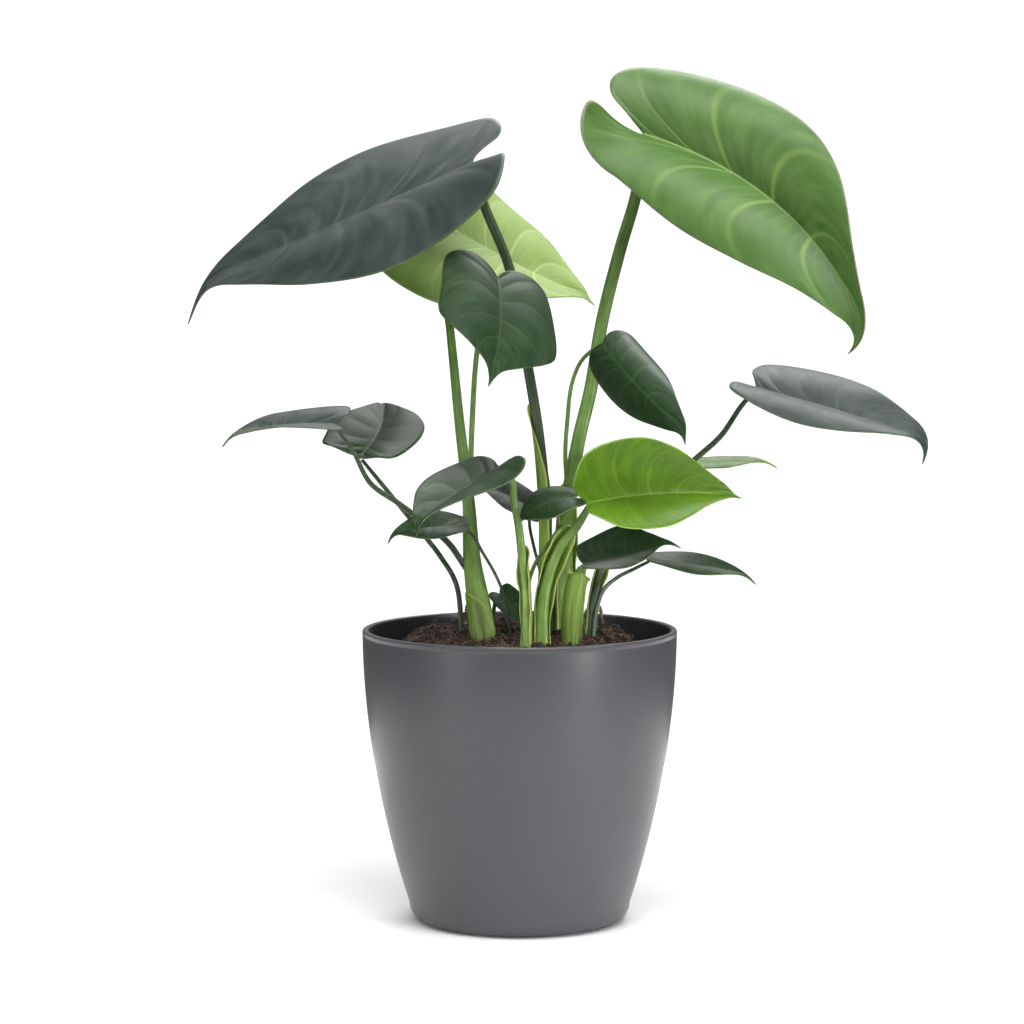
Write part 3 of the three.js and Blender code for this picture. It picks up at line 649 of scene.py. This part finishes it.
def sheath(points, start, stop, opening, flare, wrap):
    """Sheath wrapped round the back of a stalk from start to stop, shares of its length from the blade.

    Each section is an arc about the stalk, open towards a compass angle. The arc narrows to a
    point at the start and its two edges stand off by flare, most where the sheath opens."""
    along = np.linspace(start, stop, 60)
    path, radius, run = stalk_line(points, along)
    forward = np.gradient(path, axis=0)
    forward /= np.linalg.norm(forward, axis=1, keepdims=True)
    face = np.array([math.cos(math.radians(opening)), math.sin(math.radians(opening)), 0.0])
    face = face - forward * (forward @ face)[:, None]
    face /= np.linalg.norm(face, axis=1, keepdims=True)
    aside = np.cross(forward, face)
    share = (along - start) / (stop - start)
    spread = np.linspace(-1, 1, 41)
    arc = np.radians(wrap) * np.clip(share * 3.5, 0, 1)[:, None] ** 0.6 * spread
    lip = flare * np.sin(np.pi * np.clip(share, 0, 1) ** 0.45)[:, None] * np.abs(spread) ** 2.5
    ripple = 0.35 * np.sin(share * 21)[:, None] * np.abs(spread) ** 4
    outward = -np.cos(arc)[..., None] * face[:, None] + np.sin(arc)[..., None] * aside[:, None]
    reach = (radius[:, None] + SHEATH_GAP + lip + ripple)[..., None]
    centre = path[:, None]
    upper, lower = centre + outward * (reach + SHEATH_OUT), centre + outward * (reach - SHEATH_IN)
    flat = np.stack(np.broadcast_arrays(np.abs(spread)[None], run[:, None]), -1).reshape(-1, 2)
    shape, faces = thin_sheet(upper, lower)
    return shape, faces, np.vstack([flat, flat])


def sheath_skin():
    """Sheath tissue, thin and watery, IOR 1.4: pale lines along it and a whitish dry edge."""
    made, tree, shader, place = material("leaf_sheath_skin")
    body, lines, line = striped_tissue(
        tree, place, "#4a5728", "#67852f", (0.142, 0.17), (14.0, 0.04, 1.0), 0.4)
    striped = node(tree, "Mix", {"Factor": line, "A": body, "B": "#8fa94a"}, data_type="RGBA")
    across = node(tree, "SeparateXYZ", {0: node(tree, "UVMap", uv_map="skin")})
    edge = node(tree, "MapRange", {"Value": across, "From Min": 0.86, "From Max": 1.0})
    shade = node(tree, "Mix", {"Factor": edge, "A": striped, "B": "#b3c070"}, data_type="RGBA")
    bump = node(tree, "Bump", {"Height": lines, "Strength": 0.3, "Distance": 0.4 * MM})
    wire(tree, shader, {
        "Base Color": shade, "Roughness": 0.38, "IOR": 1.4, "Normal": bump, "Subsurface Weight": 0.3,
        "Subsurface Scale": 1.2 * MM, "Subsurface Radius": (0.6, 1.0, 0.25)})
    return made


# start and stop are shares of the stalk, counted from the blade. opening is the compass angle that
# the open side faces, in degrees from +X, and wrap is half of the arc that the sheath covers.
SHEATHS = {
    "top_right": dict(start=0.70, stop=0.995, opening=-60, flare=1.6, wrap=125),
    "top_left": dict(start=0.50, stop=0.99, opening=-10, flare=2.0, wrap=120),
    "back_pale": dict(start=0.8, stop=0.99, opening=-15, flare=0.2, wrap=130),
    "front_bright": dict(start=0.22, stop=0.99, opening=-75, flare=3.0, wrap=115),
    "low_right": dict(start=0.10, stop=0.98, opening=100, flare=2.2, wrap=150),
    "front_curled": dict(start=0.62, stop=0.98, opening=-130, flare=1.3, wrap=110),
    "far_right": dict(start=0.78, stop=0.98, opening=-60, flare=1.6, wrap=110),
}
sheath_green = sheath_skin()
for name, shape in SHEATHS.items():
    points, faces, skin = sheath(STALKS[name][1], **shape)
    piece(f"sheath_{name}", points, faces, sheath_green, uv={"skin": skin})

skins = {
    "fresh": stalk_skin("fresh_stalk_skin", "#567834", "#779748", "#a2b96e"),
    "dark": stalk_skin("dark_stalk_skin", "#36452f", "#3e4e34", "#5a6a4c"),
}
for name, (kind, points) in STALKS.items():
    points, faces, skin = stalk(points)
    piece(f"petiole_{name}", points, faces, skins[kind], [f"stalk_{name}"], uv={"skin": skin})

# ---- leaf blades ----
# Heart-shaped blades half a millimetre thick, each grown in one piece: a skin with a waxy
# bloom above, a paler skin below, and veins that dent the top and stand out underneath.

# kind is the skin and at is where the stalk ends. heading is the compass angle of the midrib; pitch
# is its rise, less droop and the tip's hook, and sway turns it. roll and twist lean the blade about
# it. lobe, belly and drip are shares of the length, and notch of the half width. fold and curl hold
# the angles of the left and the right half: how far it is raised, and how far its margin bends.
LEAVES = {
    "top_left": dict(kind="slate", at=(-26, 0, 384), length=175, width=132, heading=173, pitch=-24,
        droop=-3, hook=48, sway=-15, roll=-17, twist=-23, lobe=0.12, belly=0.16, drip=0.16, notch=0.18,
        fold=(17, 16), curl=(-65, -19)),
    "top_right": dict(kind="mid", at=(63, 0, 399), length=180, width=94, heading=-16, pitch=-17, droop=43,
        hook=92, sway=-45, roll=40, twist=40, lobe=0.155, belly=0.16, drip=0.11, notch=0.16, fold=(56, 40),
        curl=(-91, -76), lift=(-12, -58)),
    "back_pale": dict(kind="pale", at=(-39, 68, 355), length=90, width=124, heading=-9, pitch=-32,
        droop=-10, hook=20, sway=13, roll=34, twist=-18, lobe=0.26, belly=0.22, drip=0.1, notch=0.08,
        fold=(19, 10), curl=(-58, -28)),
    "heart": dict(kind="deep", at=(-11, -40, 328), length=81, width=66, heading=-82, pitch=-34, droop=13,
        hook=-5, sway=-24, roll=-28, twist=-16, lobe=0.13, belly=0.45, drip=0.16, notch=0.1, fold=(13, 13),
        curl=(-28, -56)),
    "middle_right": dict(kind="deep", at=(41, -30, 295), length=91, width=46, heading=-72, pitch=-26,
        droop=4, hook=52, sway=26, roll=51, twist=18, lobe=0.05, belly=0.11, drip=0.1, notch=0.09,
        fold=(-9, -9), curl=(-90, -67)),
    "far_right": dict(kind="slate", at=(119, -10, 272), length=100, width=71, heading=-20, pitch=-14,
        droop=3, hook=90, sway=12, roll=9, twist=23, lobe=0.08, belly=0.17, drip=0.14, notch=0.18,
        fold=(23, 25), curl=(-29, -50)),
    "front_bright": dict(kind="young", at=(34, -50, 217), length=90, width=68, heading=41, pitch=6,
        droop=11, hook=15, sway=-25, roll=50, twist=9, lobe=0.12, belly=0.19, drip=0.1, notch=0.11,
        fold=(47, 47), curl=(25, -35)),
    "behind_bright": dict(kind="young", at=(91, 20, 232), length=42, width=26, heading=0, pitch=6,
        droop=12, hook=28, sway=5, roll=10, twist=2, lobe=0.19, belly=0.22, drip=0.16, notch=0.08,
        fold=(16, 16), curl=(-45, -37)),
    "far_left": dict(kind="slate", at=(-92, -20, 254), length=63, width=50, heading=174, pitch=4, droop=24,
        hook=33, sway=-15, roll=-20, twist=12, lobe=0.08, belly=0.28, drip=0.14, notch=0.2, fold=(21, 21),
        curl=(-10, -44)),
    "left_round": dict(kind="deep", at=(-81, 0, 237), length=67, width=50, heading=62, pitch=23, droop=-1,
        hook=33, sway=41, roll=11, twist=-13, lobe=0.06, belly=0.32, drip=0.12, notch=0.08, fold=(26, 26),
        curl=(-37, -34)),
    "front_curled": dict(kind="deep", at=(-10, -55, 235), length=69, width=54, heading=216, pitch=-24,
        droop=-6, hook=67, sway=26, roll=10, twist=-9, lobe=0.06, belly=0.13, drip=0.12, notch=0.15,
        fold=(23, 22), curl=(-57, -11)),
    "low_left": dict(kind="deep", at=(-27, -24, 203), length=42, width=30, heading=183, pitch=2, droop=15,
        hook=53, sway=0, roll=-3, twist=-40, lobe=0.05, belly=0.25, drip=0.17, notch=0.06, fold=(15, 15),
        curl=(-34, -2)),
    "centre_small": dict(kind="slate", at=(5, -5, 211), length=35, width=26, heading=190, pitch=33,
        droop=17, hook=50, sway=-5, roll=-34, twist=-6, lobe=0.2, belly=0.27, drip=0.14, notch=0.08,
        fold=(20, 20), curl=(-30, -29)),
    "front_small": dict(kind="deep", at=(26, -55, 220), length=29, width=27, heading=191, pitch=0,
        droop=46, hook=42, sway=-13, roll=-28, twist=-27, lobe=0.17, belly=0.34, drip=0.06, notch=0.08,
        fold=(10, 10), curl=(4, -45)),
    "low_right": dict(kind="deep", at=(32, -40, 186), length=50, width=36, heading=1, pitch=12, droop=-11,
        hook=51, sway=-11, roll=14, twist=35, lobe=0.05, belly=0.33, drip=0.2, notch=0.08, fold=(20, 20),
        curl=(4, -21)),
    "low_far_right": dict(kind="deep", at=(66, -20, 186), length=55, width=26, heading=-1, pitch=-5,
        droop=8, hook=34, sway=0, roll=-4, twist=35, lobe=0.05, belly=0.27, drip=0.16, notch=0.08,
        fold=(15, 16), curl=(2, -51)),
    "youngest": dict(kind="deep", at=(-10, -13, 168), length=25, width=16, heading=-42, pitch=-34,
        droop=12, hook=10, sway=0, roll=30, twist=0, lobe=0.1, belly=0.3, drip=0.12, notch=0.08,
        fold=(30, 30), curl=(-20, -20)),
}
# ribs on each half, how far they sweep forward, where the first stands, and how fast they leave
VEINS, RIB_SWEEP, RIB_START, TAKE_OFF = 7, 0.1, 0.25, 1.35
# half of a blade's thickness, the softened share at its fold, and the width of a large blade
HALF_THICK, VALLEY, LARGE = 0.28, 0.05, 90
# rows and columns of points on a large blade and on the others
FINE_GRID, COARSE_GRID = (170, 73), (100, 45)
# millimetres, on a blade 100 mm wide: dents at the ribs, quilting between them, waves at the margin
DENT, QUILT, SLOW_WAVE, QUICK_WAVE = 0.2, 0.36, 0.9, 0.55


def leaf_outline(leaf, rows):
    """Half outline as distances along and out from the midrib, from the notch round to the tip."""
    length, half = leaf["length"], leaf["width"] / 2
    back, shoulder = leaf["lobe"] * length, leaf["belly"] * length
    neck, notch = length * (1 - leaf["drip"]), leaf["notch"]
    flank = neck - shoulder
    corners = [
        (0, 0), (-0.42 * back, notch * half), (-0.9 * back, (notch + 0.18) * half), (-back, 0.52 * half),
        (-0.62 * back, 0.82 * half), (0.5 * shoulder, 0.975 * half), (shoulder + 0.18 * flank, 0.985 * half),
        (shoulder + 0.5 * flank, 0.76 * half), (shoulder + 0.78 * flank, 0.42 * half), (neck, 0.15 * half),
        ((neck + length) / 2, 0.05 * half), (length, 0)]
    return catmull_rom([(x, y, 0) for x, y in corners], rows)


def midrib(leaf, distance, lift=0):
    """Points and frames on the midrib at distances along it.

    The pitch falls steadily by droop, then by hook over the drip tip, and the heading turns by
    sway. Behind the stalk, lift tilts the lobes. The curve is the sum of the steps these make."""
    length = leaf["length"]
    steps = np.linspace(min(distance.min(), 0) - 1e-6, length, 600)

    def directions(at):
        """Unit vectors forward, left and up at distances along the midrib."""
        along = at / length
        hook_share = 1.6 * leaf["drip"]
        hooked = np.clip((along - 1 + hook_share) / hook_share, 0, 1)
        hooked = hooked ** 2 * (3 - 2 * hooked)
        pitch = leaf["pitch"] - leaf["droop"] * np.maximum(along, -0.5) - leaf["hook"] * hooked
        pitch = pitch + lift * np.clip(-along / leaf["lobe"], 0, 1)
        heading = np.radians(leaf["heading"] + leaf["sway"] * along)
        roll = np.radians(leaf["roll"] + leaf["twist"] * np.clip(along, -0.5, 1))
        pitch = np.radians(pitch)
        level = np.cos(pitch)
        forward = np.stack([level * np.cos(heading), level * np.sin(heading), np.sin(pitch)], -1)
        left = np.stack([-np.sin(heading), np.cos(heading), 0 * heading], -1)
        up = np.cross(forward, left)
        turn, lean = np.cos(roll)[..., None], np.sin(roll)[..., None]
        return forward, left * turn + up * lean, up * turn - left * lean

    forward = directions(steps)[0]
    strides = (forward[1:] + forward[:-1]) / 2 * np.diff(steps)[:, None]
    curve = np.vstack([[0, 0, 0], np.cumsum(strides, axis=0)])
    origin = np.array([np.interp(0, steps, axis) for axis in curve.T])
    place = np.stack([np.interp(distance, steps, axis) for axis in (curve - origin).T], -1)
    return (place + np.array(leaf["at"], float), *directions(distance))


def blade(leaf, seed):
    """Closed leaf blade. Ribs leave the midrib at spaced places and end spaced round the margin, and
    each half is an arc across: raised by its fold, then bent by its curl. Veins dent the top."""
    row_count, column_count = FINE_GRID if leaf["width"] > LARGE else COARSE_GRID
    rows = np.linspace(0, 1, row_count)
    spread = np.linspace(-1, 1, column_count)
    across = np.sign(spread) * np.abs(spread) ** 1.25
    outline = leaf_outline(leaf, rows)
    half = leaf["width"] / 2
    row, out = rows[:, None], np.abs(across)[None]
    take_off = leaf["length"] * row ** TAKE_OFF
    along = take_off + (outline[:, :1] - take_off) * out
    aside = outline[:, 1:2] * out
    right = (across < 0)[None]
    fold = np.radians(np.where(right, leaf["fold"][1], leaf["fold"][0]))
    curl = np.radians(np.where(right, leaf["curl"][1], leaf["curl"][0]))
    reach = aside / half
    softened = np.sqrt(reach ** 2 + VALLEY ** 2) - VALLEY
    lateral = half * (np.sin(fold + curl * reach) - np.sin(fold)) / curl
    raised = half * (np.cos(fold) - np.cos(fold + curl * softened)) / curl
    lean = (fold + curl * reach) * reach / np.sqrt(reach ** 2 + VALLEY ** 2)
    shape = along.shape
    place, left, up = (np.zeros(shape + (3,)) for _ in range(3))
    for half_leaf, lift in zip((~right[0], right[0]), leaf.get("lift", (0, 0))):
        found = midrib(leaf, along[:, half_leaf].ravel(), lift)
        for kept, values in zip((place, left, up), (found[0], found[2], found[3])):
            kept[:, half_leaf] = values.reshape(shape[0], -1, 3)
    side = np.where(right, -1.0, 1.0) * np.ones(shape)
    middle = place + left * (side * lateral)[..., None] + up * raised[..., None]
    normal = up * np.cos(lean)[..., None] - left * (side * np.sin(lean))[..., None]

    phase = (row - RIB_SWEEP * out ** 2) * VEINS + RIB_START
    from_vein = np.abs(phase - np.round(phase))
    inner = np.minimum(1, out * 5) * np.clip((1 - out) * 6, 0, 1)
    body = np.clip(4 * row * (1 - row) * 2, 0, 1)
    size = leaf["width"] / 100
    dent = -DENT * size * np.exp(-((from_vein / 0.09) ** 2)) * inner * body
    quilt = QUILT * size * (np.cos(2 * np.pi * phase) * -0.5) * inner * body * np.sin(np.pi * out)
    ridge_width = 0.5 + 0.022 * leaf["width"] * (1 - row)
    keel = np.exp(-((aside / ridge_width) ** 2)) * (1 - row) ** 0.6
    shift = np.random.default_rng(seed).uniform(0, 6.28, 3)
    slow = SLOW_WAVE * np.sin(2 * np.pi * 1.4 * row + shift[0] + side)
    quick = QUICK_WAVE * np.sin(2 * np.pi * 3.3 * row + shift[1])
    wave = size * out ** 2 * (slow + quick)
    wave = wave * np.clip(row * 6, 0, 1) * np.clip((1 - row) * 3, 0, 1)
    top = middle + normal * (HALF_THICK + dent + quilt + wave - 0.35 * size * keel)[..., None]
    stalk_girth = 0.011 * leaf["width"] + 0.55
    under = middle + normal * (wave + quilt + dent - HALF_THICK - 1.3 * stalk_girth * keel)[..., None]
    flat = np.stack([np.broadcast_to(across[None], shape), np.broadcast_to(row, shape)], -1).reshape(-1, 2)
    ground = np.stack([aside * side, along], -1).reshape(-1, 2)
    points, faces = thin_sheet(top, under)
    sheet = (shape[0] - 1) * (len(across) - 1)
    part = (np.arange(len(faces)) >= sheet) & (np.arange(len(faces)) < 2 * sheet)
    return points, faces, {"blade": np.vstack([flat, flat]), "ground": np.vstack([ground, ground])}, part


def leaf_skin(kind, side, skin, patch, vein, edge, shine, glow, vein_share=0.5, wax=0.35):
    """A leaf's skin, IOR 1.42: wax bloom over green tissue that lets some light through.

    Veins follow the ribs, lines of one count along the midrib that sweep forward to the margin. Lighter
    patches and streaks along the ribs are painted into the colour: partly tone that varies, partly painted
    sheen, most of all on the slate skin, whose grey is largely painted sheen."""
    made, tree, shader, place = material(f"{kind}_leaf_{side}_skin")
    flat = node(tree, "UVMap", uv_map="blade")
    apart = node(tree, "SeparateXYZ", {0: flat}).outputs
    ground = node(tree, "UVMap", uv_map="ground")
    out = node(tree, "Math", {0: apart["X"]}, operation="ABSOLUTE")
    sweep = node(tree, "Math", {0: out, 1: 2.0}, operation="POWER")
    rib = node(tree, "Math", {0: sweep, 1: -RIB_SWEEP, 2: apart["Y"]}, operation="MULTIPLY_ADD")
    phase = node(tree, "Math", {0: rib, 1: float(VEINS), 2: RIB_START}, operation="MULTIPLY_ADD")
    near_even = node(tree, "Math", {0: phase, 1: 0.5}, operation="PINGPONG")
    fine_phase = node(tree, "Math", {0: phase, 1: 5.0}, operation="MULTIPLY")
    near_fine = node(tree, "Math", {0: fine_phase, 1: 0.5}, operation="PINGPONG")
    thick_vein = node(tree, "MapRange", {
        "Value": near_even, "From Max": 0.07, "To Min": 1.0, "To Max": 0.0},
        interpolation_type="SMOOTHSTEP")
    thin_vein = node(tree, "MapRange", {"Value": near_fine, "From Max": 0.3, "To Min": 0.14, "To Max": 0.0},
        interpolation_type="SMOOTHSTEP")
    veins = node(tree, "Math", {0: thick_vein, 1: thin_vein}, operation="MAXIMUM")
    fade = node(tree, "MapRange", {
        "Value": out, "From Min": 0.1, "From Max": 0.95, "To Min": 1.0, "To Max": 0.2})
    faded = node(tree, "Math", {0: veins, 1: fade}, operation="MULTIPLY")
    sides = node(tree, "SeparateXYZ", {0: ground})
    off_rib = node(tree, "Math", {0: sides}, operation="ABSOLUTE")
    width = node(tree, "MapRange", {"Value": apart["Y"], "From Max": 1.0, "To Min": 1.7, "To Max": 0.5})
    rib_line = node(tree, "MapRange", {"Value": off_rib, "From Max": width, "To Min": 1.0, "To Max": 0.0},
        interpolation_type="SMOOTHSTEP")
    lines = node(tree, "Math", {0: faded, 1: rib_line}, operation="MAXIMUM")
    share = node(tree, "Math", {0: lines, 1: vein_share}, operation="MULTIPLY")
    # painted sheen: the lighter patches and streaks along the ribs mix the patch colour into the skin, partly
    # tone that varies and partly painted sheen
    cloud = node(tree, "TexNoise", {"Vector": place, "Scale": 1 / (30 * MM), "Detail": 5.0})
    tone_and_sheen_blotch = node(tree, "MapRange", {"Value": cloud, "From Min": 0.36, "From Max": 0.66})
    along_ribs = node(tree, "CombineXYZ", {"X": apart["X"], "Y": rib})
    drawn = node(tree, "Mapping", {"Vector": along_ribs, "Scale": (2.2, 26.0, 1.0)})
    streak = node(tree, "TexNoise", {"Vector": drawn, "Scale": 1.0, "Detail": 4.0})
    tone_and_sheen_streaks = node(tree, "MapRange", {"Value": streak, "From Min": 0.36, "From Max": 0.66})
    tone_and_sheen_patches = node(tree, "Math", {0: tone_and_sheen_blotch, 1: 0.6, 2: 0.25}, operation="MULTIPLY_ADD")
    painted_sheen_and_tone_share = node(tree, "Math", {0: tone_and_sheen_patches, 1: tone_and_sheen_streaks}, operation="MULTIPLY")
    tone = node(tree, "Mix", {"Factor": painted_sheen_and_tone_share, "A": skin, "B": patch}, data_type="RGBA")
    cells = node(tree, "TexNoise", {"Vector": place, "Scale": 1 / (0.8 * MM), "Detail": 2.0})
    grain = node(tree, "MapRange", {
        "Value": cells, "From Min": 0.3, "From Max": 0.7, "To Min": 0.93, "To Max": 1.07})
    grained = node(tree, "HueSaturation", {"Color": tone, "Value": grain})
    veined = node(tree, "Mix", {"Factor": share, "A": grained, "B": vein}, data_type="RGBA")
    margin = node(tree, "MapRange", {"Value": out, "From Min": 0.975, "From Max": 0.995, "To Max": 0.75})
    shade = node(tree, "Mix", {"Factor": margin, "A": veined, "B": edge}, data_type="RGBA")
    rough = node(tree, "MapRange", {
        "Value": streak, "From Min": 0.3, "From Max": 0.7, "To Min": shine - 0.05, "To Max": shine + 0.07})
    relief = node(tree, "Math", {0: thin_vein, 1: cells}, operation="ADD")
    bump = node(tree, "Bump", {"Height": relief, "Strength": 0.16, "Distance": 0.25 * MM})
    wire(tree, shader, {
        "Base Color": shade, "Roughness": rough, "IOR": 1.42, "Specular IOR Level": wax, "Normal": bump,
        "Subsurface Weight": glow, "Subsurface Scale": 1.5 * MM, "Subsurface Radius": (0.45, 1.0, 0.15)})
    return made


# for each skin: tissue, lighter patches that are partly tone and partly painted sheen, veins, margin,
# roughness, glow, and for some of them how far the veins show and how glossy the wax is
LEAF_SKINS = {
    "slate": (
        leaf_skin("slate", "upper", "#22302a", "#4b5352", "#5b6a55", "#5d6b4c", 0.46, 0.06, 0.3, 0.42),
        leaf_skin("slate", "under", "#4a5a46", "#56644f", "#74846a", "#5d6b4c", 0.6, 0.15)),
    # painted shade: the deep skin's colours are darker, partly the blades' own deep green and partly painted
    # shade, as these blades lie under the upper ones
    "deep": (
        leaf_skin("deep_green_and_painted_shade", "upper", "#1d331b", "#33482b", "#566c48", "#5f7048", 0.4, 0.06, 0.25, 0.18),
        leaf_skin("deep_green_and_painted_shade", "under", "#2c4026", "#384e31", "#5c744c", "#5f7048", 0.6, 0.15)),
    "mid": (
        leaf_skin("mid_green", "upper", "#4a6c30", "#688a49", "#9fbb62", "#8d8574", 0.42, 0.2, 0.45),
        leaf_skin("mid_green", "under", "#6c9150", "#7b9c60", "#a5bf84", "#8d8574", 0.6, 0.25)),
    "pale": (
        leaf_skin("pale", "upper", "#86a04e", "#98b065", "#c3d592", "#a8bd78", 0.55, 0.35, 0.5),
        leaf_skin("pale", "under", "#8fa85c", "#a1b873", "#c9da9c", "#a8bd78", 0.62, 0.35, 0.5)),
    "young": (
        leaf_skin("young", "upper", "#4c7010", "#6c9222", "#8fae46", "#87a24a", 0.42, 0.35, 0.35),
        leaf_skin("young", "under", "#5f8420", "#6c9230", "#9ab65a", "#87a24a", 0.55, 0.35, 0.35)),
}

for seed, (name, leaf) in enumerate(LEAVES.items()):
    points, faces, uv, part = blade(leaf, seed)
    kind = leaf["kind"]
    piece(f"blade_{name}", points, faces, LEAF_SKINS[kind], [f"leaf_{name}"], uv, part)

# ---- end ----


def corners(box):
    """A box's two corners as plain lists."""
    return [[float(value) for value in corner] for corner in box]
